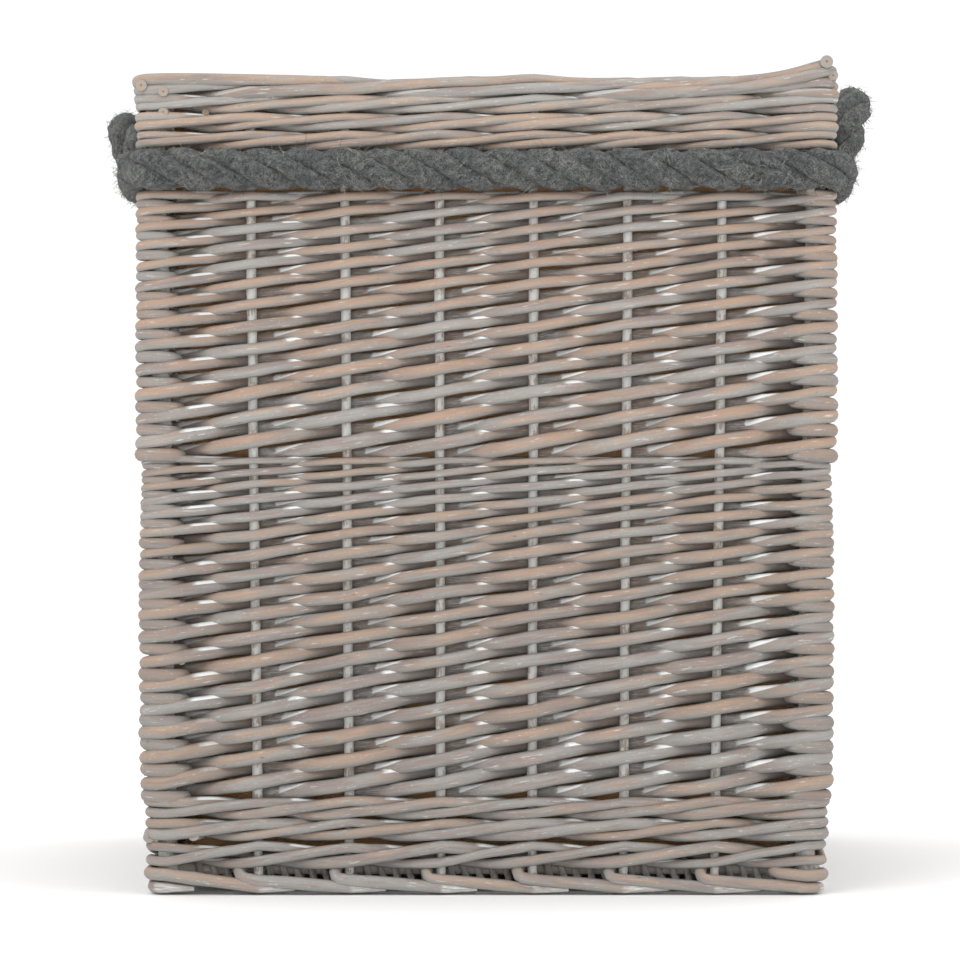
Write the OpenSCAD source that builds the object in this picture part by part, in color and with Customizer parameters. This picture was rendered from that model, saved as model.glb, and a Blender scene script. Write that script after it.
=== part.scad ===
// Tall square log basket in willow, with a hessian lining and a rope in a groove
// under the rim. Origin at the centre of the foot, front towards -Y, +Z up.

/* [Basket] */
// Outer width at the rim
rim_w = 460; // [360:5:560]
// Outer depth at the rim
rim_d = 460; // [360:5:560]
// Height of the willow work, floor to rim
basket_h = 535; // [440:5:650]
// How much narrower the foot is than the rim, both sides together
foot_taper = 16; // [0:2:60]
// Thickness of the woven wall
wall_t = 21; // [18:0.5:27]
// How far each upright corner of the wall is cut back
corner_cut = 6; // [2:1:10]

/* [Uprights] */
// Stakes on each side, between the corner posts
stakes_per_side = 6; // [4:1:8]
// Diameter of a stake
stake_d = 6.2; // [4:0.1:8]
// Diameter of a corner post
post_d = 13; // [9:0.5:16]
// Radial play of an upright in the weave
weave_play = 0.1; // [0.05:0.05:0.3]
// Distance from the ends of the uprights to the floor and to the rim
upright_end = 5.5; // [4:0.5:8]

/* [Foot and base] */
// Height of the foot border
foot_h = 15; // [12:0.5:20]
// Height of the foot border's lip, which the base rests on
lip_h = 9.5; // [6:0.5:11]
// Thickness of the woven base
base_t = 12; // [10:0.5:18]
// Diameter of the two outer base sticks
outer_stick_d = 8; // [5:0.5:9.5]
// Diameter of the inner base sticks
inner_stick_d = 7; // [5:0.5:9.5]
// Number of inner base sticks
inner_sticks = 5; // [3:1:7]
// Gap between the base's edge and the stakes
base_gap = 1.4; // [0.5:0.1:3]

/* [Bands of weaving] */
// Rounds in each of the two wales
wale_rounds = 3; // [2:1:4]
// Height of one round of the bottom wale
bottom_round_h = 14; // [10:0.5:18]
// Height of the upper band of randing
upper_rand_h = 172; // [120:1:220]
// Height of one round of the top wale
top_round_h = 12; // [9:0.5:15]
// Height of the border at the rim
border_h = 14; // [10:0.5:20]

/* [Lining] */
// Thickness of the lining bag
lining_t = 1.5; // [1:0.1:3]
// Gap between the weave and the lining
lining_play = 2.5; // [0.5:0.1:4]
// How far the lining stops below the rim
lining_drop = 20; // [16:1:60]

/* [Rope] */
// Diameter of the three-strand rope
rope_d = 23; // [16:0.5:28]
// Room above and below the rope in its groove
rope_room = 2.5; // [1:0.5:6]
// Gap between the rope and the stakes at front and back
rope_rest = 0.3; // [0.2:0.1:1]
// Radius of the rope's centreline round a corner post
rope_corner_r = 18; // [16:1:30]
// Distance between the feet of a handle loop
handle_span = 182; // [140:2:220]
// Length of the right handle's loop, from its hinge line to its crown
right_loop = 64; // [50:1:80]
// Length of the left handle's loop, from its hinge line to its crown
left_loop = 46; // [38:1:80]
// Radius of a loop's two feet, where they turn away from the hinge line
foot_r = 22; // [16:1:26]
// How far a handle's crown leans out from its hinge line
handle_reach = 18.5; // [14:0.5:40]
// Gap between a handle and the rim it leans on
handle_play = 0.9; // [0.5:0.1:3]
// Straight end of a handle, in line with the rope round the basket
handle_end = 6; // [2:1:12]
// Gap between a handle's end and the rope round the basket
hinge_gap = 0.3; // [0.2:0.1:1]

/* [Hidden] */
$fn = 48;

// Running play between pieces that touch without gripping
fit = 0.2;
// Overlap of a cutting shape past the face it cuts
eps = 1;

base_z = lip_h;
base_top = base_z + base_t;
bottom_wale_z = base_top + fit;
lower_rand_z = bottom_wale_z + wale_rounds * bottom_round_h;
top_border_z = basket_h - border_h;
top_wale_z = top_border_z - wale_rounds * top_round_h;
groove_h = rope_d + 2 * rope_room;
groove_z = top_wale_z - groove_h;
upper_rand_z = groove_z - upper_rand_h;
rope_z = groove_z + groove_h / 2;

// Half the basket's width and depth over the line of the stakes, at height z
function narrowing(z) = foot_taper / 2 * (1 - z / basket_h);
function line_x(z) = (rim_w - wall_t) / 2 - narrowing(z);
function line_y(z) = (rim_d - wall_t) / 2 - narrowing(z);

// A post's outer side is flush with the stakes' outer sides
post_inset = (post_d - stake_d) / 2;
function post_x(z) = line_x(z) - post_inset;
function post_y(z) = line_y(z) - post_inset;

// Share of the way from one post to the next, for stake k of a side
function along(k) = 2 * k / (stakes_per_side + 1) - 1;

// A point at height z on the line of each kind of upright
function front_at(k, z) = [along(k) * post_x(z), -line_y(z), z];
function right_at(k, z) = [line_x(z), along(k) * post_y(z), z];
function back_at(k, z) = [-along(k) * post_x(z), line_y(z), z];
function left_at(k, z) = [-line_x(z), -along(k) * post_y(z), z];
function corner_at(sx, sy, z) = [sx * post_x(z), sy * post_y(z), z];

upright_z0 = upright_end;
upright_z1 = basket_h - upright_end;

SIDES = ["front", "right", "back", "left"];
function stake_at(side, k, z) =
    side == "front" ? front_at(k, z) :
    side == "right" ? right_at(k, z) :
    side == "back" ? back_at(k, z) : left_at(k, z);

CORNERS = [["front_left", -1, -1], ["front_right", 1, -1],
           ["back_right", 1, 1], ["back_left", -1, 1]];

// Lean from the vertical of a loop of this length
function lean(length) = asin(handle_reach / length);

// The hinge line stands out of the wall until a leaning loop clears the rim
function hinge_out(length) =
    (rope_d / 2 + handle_play - groove_h / 2 * sin(lean(length))) / cos(lean(length));

// The rope's places are kept to a hundredth of a millimetre, so that its bends meet exactly
function neat(v) = round(100 * v) / 100;
hinge_x = neat(line_x(rope_z) + wall_t / 2
               + max(hinge_out(right_loop), hinge_out(left_loop)));
rope_y = neat(line_y(rope_z) + stake_d / 2 + rope_rest + rope_d / 2);
rope_end_y = handle_span / 2 + handle_end + hinge_gap;

// ---- shapes that repeat ----

// A round rod from point a to point b, leaned over without a twist about its own axis
module rod(a, b, d) {
    v = b - a;
    bearing = atan2(v.y, v.x);
    translate(a)
        rotate([0, acos(v.z / norm(v)), bearing])
            rotate([0, 0, -bearing])
                cylinder(d = d, h = norm(v));
}

// A slab that runs along Y, with leaning faces at half-widths h0 and h1
module leaning_slab(h0, h1, z0, z1) {
    rotate([90, 0, 0])
        linear_extrude(height = 2 * (rim_w + rim_d), center = true)
            polygon([[-h0, z0], [h0, z0], [h1, z1], [-h1, z1]]);
}

// The block inside the basket's leaning faces, moved out by "out" from the stake line,
// with its upright corners cut back by "cut"
module leaning_block(out, z0, z1, cut = 0) {
    function diagonal(z) = (line_x(z) + line_y(z) + 2 * out - cut) / sqrt(2);
    intersection() {
        leaning_slab(line_x(z0) + out, line_x(z1) + out, z0, z1);
        rotate([0, 0, 90])
            leaning_slab(line_y(z0) + out, line_y(z1) + out, z0, z1);
        if (cut > 0)
            for (turn = [45, -45])
                rotate([0, 0, turn])
                    leaning_slab(diagonal(z0), diagonal(z1), z0, z1);
    }
}

// Holes for the corner posts between two heights
module post_holes(z0, z1, play) {
    for (c = CORNERS)
        rod(corner_at(c[1], c[2], z0), corner_at(c[1], c[2], z1), post_d + 2 * play);
}

// Holes for every stake and corner post between two heights
module upright_holes(z0, z1) {
    post_holes(z0, z1, weave_play);
    for (s = SIDES, k = [1:stakes_per_side])
        rod(stake_at(s, k, z0), stake_at(s, k, z1), stake_d + 2 * weave_play);
}

// One band of the wall as a closed ring, pierced by the uprights
module band(z0, z1) {
    difference() {
        leaning_block(wall_t / 2, z0, z1, corner_cut);
        leaning_block(-wall_t / 2, z0 - eps, z1 + eps);
        upright_holes(z0 - eps, z1 + eps);
    }
}

// ---- uprights ----

module corner_post(sx, sy) {
    color("gainsboro")
        rod(corner_at(sx, sy, upright_z0), corner_at(sx, sy, upright_z1), post_d);
}

module stake(side, k) {
    color("gainsboro")
        rod(stake_at(side, k, upright_z0), stake_at(side, k, upright_z1), stake_d);
}

// ---- weaving ----

// The foot: a full ring that stops short of the base's edge, on a lip that reaches under it
module foot_border() {
    edge = -stake_d / 2 - base_gap + fit;
    color("tan")
        difference() {
            leaning_block(wall_t / 2, 0, foot_h, corner_cut);
            leaning_block(-wall_t / 2, -eps, lip_h + eps);
            leaning_block(edge, lip_h, foot_h + eps);
            upright_holes(upright_z0 - fit, foot_h + eps);
        }
}

module bottom_wale(i) {
    z = bottom_wale_z + (i - 1) * bottom_round_h;
    color("rosybrown") band(z, z + bottom_round_h);
}

module lower_rand() {
    color("tan") band(lower_rand_z, upper_rand_z);
}

module upper_rand() {
    color("rosybrown") band(upper_rand_z, groove_z);
}

module top_wale(i) {
    z = top_wale_z + (i - 1) * top_round_h;
    color("tan") band(z, z + top_round_h);
}

module top_border() {
    color("rosybrown")
        difference() {
            leaning_block(wall_t / 2, top_border_z, basket_h, corner_cut);
            leaning_block(-wall_t / 2, top_border_z - eps, basket_h + eps);
            upright_holes(top_border_z - eps, upright_z1 + fit);
        }
}

// ---- base ----

base_edge = -stake_d / 2 - base_gap;
stick_z = base_z + base_t / 2;
outer_stick_y = line_y(base_z) + base_edge - base_t / 2;
stick_half_l = line_x(base_z) + base_edge - fit;

// Distance from the middle of the base to inner stick i
function stick_y(i) = outer_stick_y * (2 * i / (inner_sticks + 1) - 1);

// A base stick runs across the basket, from side to side
module stick_at(y, d, half_l) {
    rod([-half_l, y, stick_z], [half_l, y, stick_z], d);
}

// An outer stick stops short of the corner posts
outer_stick_half_l = post_x(stick_z) - post_d / 2 - 2 * fit;

module outer_stick(sy) {
    color("burlywood") stick_at(sy * outer_stick_y, outer_stick_d, outer_stick_half_l);
}

module inner_stick(i) {
    color("burlywood") stick_at(stick_y(i), inner_stick_d, stick_half_l);
}

module base_weave() {
    color("tan")
        difference() {
            leaning_block(base_edge, base_z, base_top);
            for (sy = [-1, 1])
                stick_at(sy * outer_stick_y, outer_stick_d + 2 * weave_play, line_x(0));
            for (i = [1:inner_sticks])
                stick_at(stick_y(i), inner_stick_d + 2 * weave_play, line_x(0));
            post_holes(base_z - eps, base_top + eps, fit);
        }
}

// ---- lining ----

// An open bag that stands on the base, inside the weave
module lining() {
    outside = -wall_t / 2 - lining_play;
    top = basket_h - lining_drop;
    color("peru")
        difference() {
            leaning_block(outside, base_top, top);
            leaning_block(outside - lining_t, base_top + lining_t, top + eps);
        }
}

// ---- rope ----

// Part of a ring of rope in the XY plane, from angle a0 to a1
module rope_arc(centre, r, a0, a1) {
    translate(centre)
        rotate([0, 0, a0])
            rotate_extrude(angle = a1 - a0)
                translate([r, 0]) circle(d = rope_d);
}

// The rope round one half of the basket, from one handle to the other
module rope_run() {
    cx = hinge_x - rope_corner_r;
    cy = rope_y - rope_corner_r;
    color("dimgray")
        translate([0, 0, rope_z]) {
            rod([-cx, -rope_y, 0], [cx, -rope_y, 0], rope_d);
            rope_arc([cx, -cy, 0], rope_corner_r, -90, 0);
            rope_arc([-cx, -cy, 0], rope_corner_r, 180, 270);
            for (sx = [-1, 1])
                rod([sx * hinge_x, -cy, 0], [sx * hinge_x, -rope_end_y, 0], rope_d);
        }
}

module rope_front() {
    rope_run();
}

module rope_back() {
    rotate([0, 0, 180]) rope_run();
}

// A loop of rope in the XY plane: its hinge line is the X axis and its crown is at y = length
module loop(length) {
    half = handle_span / 2;
    leg_x = half - foot_r;
    crown_r = length - foot_r;
    for (s = [-1, 1])
        rod([s * (half + handle_end), 0, 0], [s * half, 0, 0], rope_d);
    rope_arc([-half, foot_r, 0], foot_r, -90, 0);
    rope_arc([half, foot_r, 0], foot_r, 180, 270);
    rope_arc([crown_r - leg_x, foot_r, 0], crown_r, 90, 180);
    rope_arc([leg_x - crown_r, foot_r, 0], crown_r, 0, 90);
    rod([crown_r - leg_x, length, 0], [leg_x - crown_r, length, 0], rope_d);
}

// A carrying loop on side sx (1 right, -1 left), leaning out from its hinge line
module handle(sx, length) {
    color("dimgray")
        translate([sx * hinge_x, 0, rope_z])
            rotate([0, sx * lean(length), 0])
                rotate([90, 0, 90])
                    loop(length);
}

module handle_left() {
    handle(-1, left_loop);
}

module handle_right() {
    handle(1, right_loop);
}

// ---- assembly ----

for (c = CORNERS)
    corner_post(c[1], c[2]);
for (s = SIDES, k = [1:stakes_per_side])
    stake(s, k);
foot_border();
for (i = [1:wale_rounds])
    bottom_wale(i);
lower_rand();
upper_rand();
for (i = [1:wale_rounds])
    top_wale(i);
top_border();
outer_stick(-1);  // base_stick_front
outer_stick(1);  // base_stick_back
for (i = [1:inner_sticks])
    inner_stick(i);
base_weave();
lining();
rope_front();
rope_back();
handle_left();
handle_right();
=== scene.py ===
"""Looks for a tall square log basket: willow rods woven one by one round their uprights,
a hessian lining, and a three-strand rope in its groove with a carrying loop at each side."""

import logging
import math
from dataclasses import dataclass
from enum import Enum
from typing import Any, Callable, Iterable, Optional, Sequence, Union

import bmesh
import bpy
import numpy as np
from mathutils import Matrix, Vector


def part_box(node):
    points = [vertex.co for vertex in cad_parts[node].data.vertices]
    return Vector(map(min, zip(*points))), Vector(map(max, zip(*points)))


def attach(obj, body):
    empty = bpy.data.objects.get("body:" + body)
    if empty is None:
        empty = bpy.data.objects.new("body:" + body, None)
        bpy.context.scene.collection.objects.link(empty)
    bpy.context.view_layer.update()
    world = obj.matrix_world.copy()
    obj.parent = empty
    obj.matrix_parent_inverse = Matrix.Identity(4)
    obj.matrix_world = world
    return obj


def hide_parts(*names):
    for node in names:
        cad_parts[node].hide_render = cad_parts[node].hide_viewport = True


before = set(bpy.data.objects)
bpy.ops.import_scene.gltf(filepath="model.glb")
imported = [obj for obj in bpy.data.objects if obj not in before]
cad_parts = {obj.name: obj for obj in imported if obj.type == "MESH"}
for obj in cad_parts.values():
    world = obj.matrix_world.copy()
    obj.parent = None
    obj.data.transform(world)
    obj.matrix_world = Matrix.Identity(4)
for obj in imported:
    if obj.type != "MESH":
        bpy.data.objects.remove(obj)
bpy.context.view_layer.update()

log = logging.getLogger("log_basket")

Array = np.ndarray
Colour = tuple[int, int, int]
Material = bpy.types.Material
Rng = np.random.Generator
Socket = bpy.types.NodeSocket
MM = 0.001
UP = np.array([0.0, 0.0, 1.0])
GAPS_PER_SIDE = 7
ROUND = 4 * GAPS_PER_SIDE  # uprights, and gaps between them, once round the basket
NO_END = math.inf


# ---------------------------------------------------------------- shader maths


class Term:
    """A number socket that takes part in sums; each sum adds its Math nodes."""

    def __init__(self, bench: "Bench", socket: Socket) -> None:
        """Keeps the socket and the bench that its node stands on."""
        self.bench = bench
        self.socket = socket

    def __add__(self, other: "Number") -> "Term":
        """Adds."""
        return self.bench.maths("ADD", self, other)

    def __sub__(self, other: "Number") -> "Term":
        """Subtracts."""
        return self.bench.maths("SUBTRACT", self, other)

    def __rsub__(self, other: "Number") -> "Term":
        """Subtracts this from a number."""
        return self.bench.maths("SUBTRACT", other, self)

    def __mul__(self, other: "Number") -> "Term":
        """Multiplies."""
        return self.bench.maths("MULTIPLY", self, other)

    def __truediv__(self, other: "Number") -> "Term":
        """Divides."""
        return self.bench.maths("DIVIDE", self, other)

    def __neg__(self) -> "Term":
        """Changes sign."""
        return self.bench.maths("MULTIPLY", self, -1.0)

    __radd__ = __add__
    __rmul__ = __mul__


Number = Union[Term, float]


def srgb(red: int, green: int, blue: int) -> tuple[float, float, float, float]:
    """A screen colour as the linear colour that a shader takes.

    Args:
        red: Red from 0 to 255.
        green: Green from 0 to 255.
        blue: Blue from 0 to 255.

    Returns:
        Linear red, green and blue, and an alpha of 1.
    """
    linear = [((c / 255 + 0.055) / 1.055) ** 2.4 if c > 10 else c / 3294.6
              for c in (red, green, blue)]
    return (*linear, 1.0)


class Bench:
    """A new material with the means to put its nodes together."""

    def __init__(self, name: str) -> None:
        """Starts the material with a Principled shader and its output.

        Args:
            name: The material's name.
        """
        self.material = bpy.data.materials.new(name)
        self.material.use_nodes = True
        self.tree = self.material.node_tree
        self.tree.nodes.clear()
        self.shader = self.node("ShaderNodeBsdfPrincipled")
        self.node("ShaderNodeOutputMaterial", values={"Surface": self.shader.outputs["BSDF"]})

    def node(self, kind: str, settings: Optional[dict[str, Any]] = None,
             values: Optional[dict[Union[str, int], Any]] = None) -> bpy.types.Node:
        """Adds one node.

        Args:
            kind: The node's type.
            settings: Its settings, such as an operation, or a ramp's stops under "stops".
            values: A value, Term or socket for each input, by its name or number.

        Returns:
            The node.
        """
        made = self.tree.nodes.new(kind)
        for key, value in (settings or {}).items():
            if key == "stops":
                ramp = made.color_ramp
                while len(ramp.elements) < len(value):
                    ramp.elements.new(0.5)
                for element, (place, colour) in zip(ramp.elements, value):
                    element.position, element.color = place, colour
            else:
                setattr(made, key, value)
        for key, value in (values or {}).items():
            self.feed(made.inputs[key], value)
        return made

    def feed(self, entry: Socket, value: Any) -> None:
        """Links a Term or socket to an input, or sets a plain value on it."""
        if isinstance(value, Term):
            value = value.socket
        if isinstance(value, Socket):
            self.tree.links.new(value, entry)
        else:
            entry.default_value = value

    def maths(self, operation: str, *terms: Number, clamp: bool = False) -> Term:
        """Adds a Math node.

        Args:
            operation: The node's operation.
            terms: Its one to three numbers.
            clamp: Whether the result is held between 0 and 1.

        Returns:
            The result.
        """
        made = self.node("ShaderNodeMath", {"operation": operation, "use_clamp": clamp},
                         dict(enumerate(terms)))
        return Term(self, made.outputs[0])

    def step(self, value: Number, low: Number, high: Number) -> Term:
        """A smooth step.

        Args:
            value: What is stepped.
            low: Where it is 0.
            high: Where it is 1. It may be lower than low.

        Returns:
            A number from 0 to 1.
        """
        made = self.node("ShaderNodeMapRange", {"interpolation_type": "SMOOTHSTEP"},
                         {"Value": value, "From Min": low, "From Max": high})
        return Term(self, made.outputs["Result"])

    def uv(self, name: str) -> tuple[Term, Term]:
        """The two numbers of a UV map."""
        made = self.node("ShaderNodeUVMap", {"uv_map": name})
        parts = self.node("ShaderNodeSeparateXYZ", values={0: made.outputs[0]})
        return Term(self, parts.outputs[0]), Term(self, parts.outputs[1])

    def place(self) -> Socket:
        """A point's place on the object, in metres."""
        return self.node("ShaderNodeTexCoord").outputs["Object"]

    def vector(self, x: Number, y: Number, z: Number) -> Socket:
        """A vector of three numbers."""
        return self.node("ShaderNodeCombineXYZ", values={0: x, 1: y, 2: z}).outputs[0]

    def noise(self, vector: Socket, scale: float, detail: float = 2.0,
              roughness: float = 0.5) -> Term:
        """Noise from about 0.2 to 0.8.

        Args:
            vector: Where it is read.
            scale: Its scale.
            detail: How many finer layers it has.
            roughness: How strong these are.

        Returns:
            The noise.
        """
        made = self.node("ShaderNodeTexNoise", values={
            "Vector": vector, "Scale": scale, "Detail": detail, "Roughness": roughness})
        return Term(self, made.outputs[0])

    def chance(self, seed: Number) -> Term:
        """A random number from 0 to 1 for each value of seed."""
        made = self.node("ShaderNodeTexWhiteNoise", {"noise_dimensions": "1D"}, {"W": seed})
        return Term(self, made.outputs["Value"])

    def blend(self, first: Any, second: Any, share: Number) -> Socket:
        """Mixes two colours.

        Args:
            first: The colour at share 0.
            second: The colour at share 1.
            share: The share of the second.

        Returns:
            The colour's socket.
        """
        made = self.node("ShaderNodeMix", {"data_type": "RGBA"},
                         {0: share, 6: first, 7: second})
        return made.outputs[2]

    def shade(self, colour: Any, factor: Number) -> Socket:
        """Makes a colour darker or lighter by a factor."""
        made = self.node("ShaderNodeVectorMath", {"operation": "SCALE"},
                         {0: colour, "Scale": factor})
        return made.outputs[0]

    def bump(self, height: Number, distance: float, strength: float) -> Socket:
        """A normal that is bumped by a height.

        Args:
            height: The height from 0 to 1.
            distance: What a height of 1 stands for, in metres.
            strength: The strength of the effect.

        Returns:
            The normal's socket.
        """
        made = self.node("ShaderNodeBump", values={
            "Height": height, "Distance": distance, "Strength": strength})
        return made.outputs[0]

    def finish(self, **sockets: Any) -> Material:
        """Feeds the shader.

        Args:
            sockets: Its inputs by name, with _ for a space.

        Returns:
            The material.
        """
        for name, value in sockets.items():
            self.feed(self.shader.inputs[name.replace("_", " ")], value)
        return self.material


# ---------------------------------------------------------------- finishes


@dataclass(frozen=True)
class Surface:
    """Where a point is on a rod: along it, and round it as the sine and cosine of an angle."""

    bench: Bench
    length: Term
    tone: Term
    sine: Term
    cosine: Term

    def noise(self, along: float, around: float, shift: float, scale: float,
              detail: float, roughness: float) -> Term:
        """Noise that follows the rod and differs from rod to rod.

        Args:
            along: How closely it is packed along the rod.
            around: How closely it is packed round it.
            shift: How far a rod's tone moves it.
            scale: Its scale.
            detail: How many finer layers it has.
            roughness: How strong these are.

        Returns:
            The noise.
        """
        where = self.bench.vector(self.length * along, self.sine * around + self.tone * shift,
                                  self.cosine * around)
        return self.bench.noise(where, scale, detail, roughness)


@dataclass(frozen=True)
class WillowFinish:
    """Peeled willow, steamed and rubbed with whitewash, which stays where rods touch."""

    name: str
    cycle: float  # uprights from one dive behind to the next
    tan: Colour = (178, 151, 132)
    plum: Colour = (150, 136, 130)
    # grey patches of the wood, and the underside's painted bounce light
    ash: Colour = (158, 157, 153)
    # greyer with whitewash, and darker as painted shade, where a rod lies behind an upright
    recess_wash_and_shade: Colour = (132, 126, 122)
    chalk: Colour = (244, 246, 244)
    slashes: float = 1.0
    bright: float = 1.0
    cut_from: Optional[float] = None  # the stroke from which the rod is cut slanting

    # the noises' measures: along, around, shift, scale, detail and roughness
    GRAIN = (34, 1.6, 57, 1.9, 5, 0.62)
    CLOUD = (16, 0.5, 31, 1.0, 3, 0.55)
    GREY = (22, 0.7, 83, 1.3, 3, 0.6)
    RAGGED = (240, 1.5, 13, 1.0, 3, 0.6)
    DRY = (70, 3.4, 23, 1.5, 4, 0.7)
    DAB = (58, 1.8, 47, 1.5, 4, 0.62)
    SPECK = (210, 2.6, 19, 3.1, 2, 0.5)
    NICK = (95, 1.2, 71, 1.7, 2, 0.5)

    def make(self) -> Material:
        """Makes the material from the rods' own maps.

        Returns:
            The material.
        """
        b = Bench(self.name)
        stroke, turn = b.uv("stroke")
        length, tone = b.uv("grain")
        angle = turn * math.tau
        level = -b.maths("SINE", angle)  # 1 on the top of a rod, -1 underneath
        across = b.maths("COSINE", angle)
        rod = Surface(b, length, tone, level, across)
        grain, cloud, grey, ragged, dry, dabs, specks, pits = (
            rod.noise(*measures) for measures in (self.GRAIN, self.CLOUD, self.GREY, self.RAGGED,
                                                  self.DRY, self.DAB, self.SPECK, self.NICK))
        tan, plum, ash, recess_wash_and_shade, chalk = (
            srgb(*c) for c in (self.tan, self.plum, self.ash, self.recess_wash_and_shade, self.chalk))

        phase = b.maths("FRACT", stroke / self.cycle) * self.cycle
        behind = b.maths("MINIMUM", phase, self.cycle - phase)
        # 1 where the rod lies behind an upright, where whitewash greys it and painted shade
        # darkens it
        deep = b.step(behind, 0.95, 0.25)
        rod_tone = b.chance(b.maths("FLOOR", tone * 997) * 0.37)
        turn_tone = b.chance(b.maths("FLOOR", stroke / self.cycle) * 7.13 + tone * 91)

        colour = b.blend(tan, plum, b.step(cloud + rod_tone * 0.30 - 0.15, 0.41, 0.62))
        greyed = b.step(grey + rod_tone * 0.22 - 0.08, 0.49, 0.66)
        colour = b.blend(colour, ash, greyed * 0.82)
        # the rod's underside is turned cool grey: painted bounce light from the floor
        under = b.step(level + (ragged - 0.5) * 0.5, -0.05, -0.5)
        colour = b.blend(colour, ash, under * 0.72)
        # behind an upright the rod turns greyer with whitewash and darker with painted shade
        colour = b.blend(colour, recess_wash_and_shade, deep * 0.45)
        smear = (b.step(phase, 0.04, 0.12) * b.step(phase, 0.46, 0.2)
                 * b.step(dry + cloud * 0.3, 0.60, 0.80))
        colour = b.blend(colour, chalk, smear * 0.42 * self.slashes)

        rising = phase + (ragged - 0.5) * 0.10 + (turn_tone - 0.5) * 0.15
        hook = (b.step(rising, 0.27, 0.31) * b.step(rising, 0.62, 0.50)
                * b.step(level - (rising - 0.30) * 3.1 + (ragged - 0.5) * 0.25, -0.12, 0.08)
                * b.step(turn_tone, 0.10, 0.34))
        diving = phase - (self.cycle - 1) + (ragged - 0.5) * 0.12 + (rod_tone - 0.5) * 0.14
        ledge = (b.step(diving, 0.36, 0.46) * b.step(diving, 0.84, 0.72)
                 * b.step(level, 0.44, 0.58)
                 * b.step(turn_tone + cloud * 0.3, 0.22, 0.42))
        white = b.maths("MAXIMUM", hook, ledge) * self.slashes
        colour = b.blend(colour, chalk, b.maths("MINIMUM", white, 0.95))
        if self.cut_from is not None:
            sliced = b.step(stroke + (ragged - 0.5) * 0.12, self.cut_from, self.cut_from + 0.06)
            colour = b.blend(colour, chalk, sliced * b.step(dry, 0.36, 0.62) * 0.6)
        colour = b.blend(colour, chalk, b.step(dabs, 0.62, 0.70) * 0.40)
        colour = b.blend(colour, chalk, b.step(specks, 0.685, 0.73) * 0.55)
        nicks = b.step(pits, 0.27, 0.22)
        # painted shade: the rod's top and bottom are darkened where it lies against its neighbours
        crevice_shade = b.step(b.maths("ABSOLUTE", level), 0.78, 1.0)
        shade = ((0.74 + grain * 0.50) * (0.92 + rod_tone * 0.14) * (1 - nicks * 0.45)
                 * (1 - crevice_shade * 0.20) * self.bright)
        height = grain * 0.65 + white * 0.25 + cloud * 0.5 - nicks * 0.6
        return b.finish(Base_Color=b.shade(colour, shade), Roughness=0.62 + grain * 0.25,
                        Specular_IOR_Level=0.32, Normal=b.bump(height, 0.9 * MM, 0.55))


@dataclass(frozen=True)
class CutFinish:
    """The cut end of a rod: bark line, pale wood and dark pith."""

    name: str = "cut_willow"
    wood: Colour = (168, 144, 122)
    rim: Colour = (152, 150, 147)
    pith: Colour = (104, 92, 82)

    def make(self) -> Material:
        """Makes the material from the share of the radius that the map holds.

        Returns:
            The material.
        """
        b = Bench(self.name)
        out, tone = b.uv("grain")
        noise = b.noise(b.place(), 900, 3, 0.6)
        mottled = b.blend(srgb(*self.wood), srgb(*self.rim),
                          b.step(noise + b.chance(tone * 613) * 0.3 - 0.15, 0.42, 0.62))
        colour = b.blend(mottled, srgb(*self.rim), b.step(out + noise * 0.4, 0.86, 1.06))
        colour = b.blend(srgb(*self.pith), colour, b.step(out + noise * 0.2, 0.20, 0.36))
        return b.finish(Base_Color=b.shade(colour, 0.86 + noise * 0.28),
                        Roughness=0.85, Normal=b.bump(noise, 0.4 * MM, 0.5))


@dataclass(frozen=True)
class StickFinish:
    """A straight peeled stick, chalky with whitewash."""

    name: str
    pale: Colour = (214, 214, 210)
    bare: Colour = (172, 156, 142)

    def make(self) -> Material:
        """Makes the material from places on the object.

        Returns:
            The material.
        """
        b = Bench(self.name)
        stretch = b.node("ShaderNodeMapping", values={"Vector": b.place(), "Scale": (1, 1, 0.16)})
        grain = b.noise(stretch.outputs[0], 700, 4, 0.6)
        patch = b.noise(b.place(), 120, 3, 0.6)
        fine = b.noise(b.place(), 1500, 2, 0.6)
        colour = b.blend(srgb(*self.pale), srgb(*self.bare),
                         b.step(patch + (grain - 0.5) * 0.8, 0.50, 0.66))
        return b.finish(Base_Color=b.shade(colour, 0.78 + grain * 0.26 + fine * 0.16),
                        Roughness=0.72 + grain * 0.2, Specular_IOR_Level=0.3,
                        Normal=b.bump(grain + patch * 0.7, 0.7 * MM, 0.5))


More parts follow.
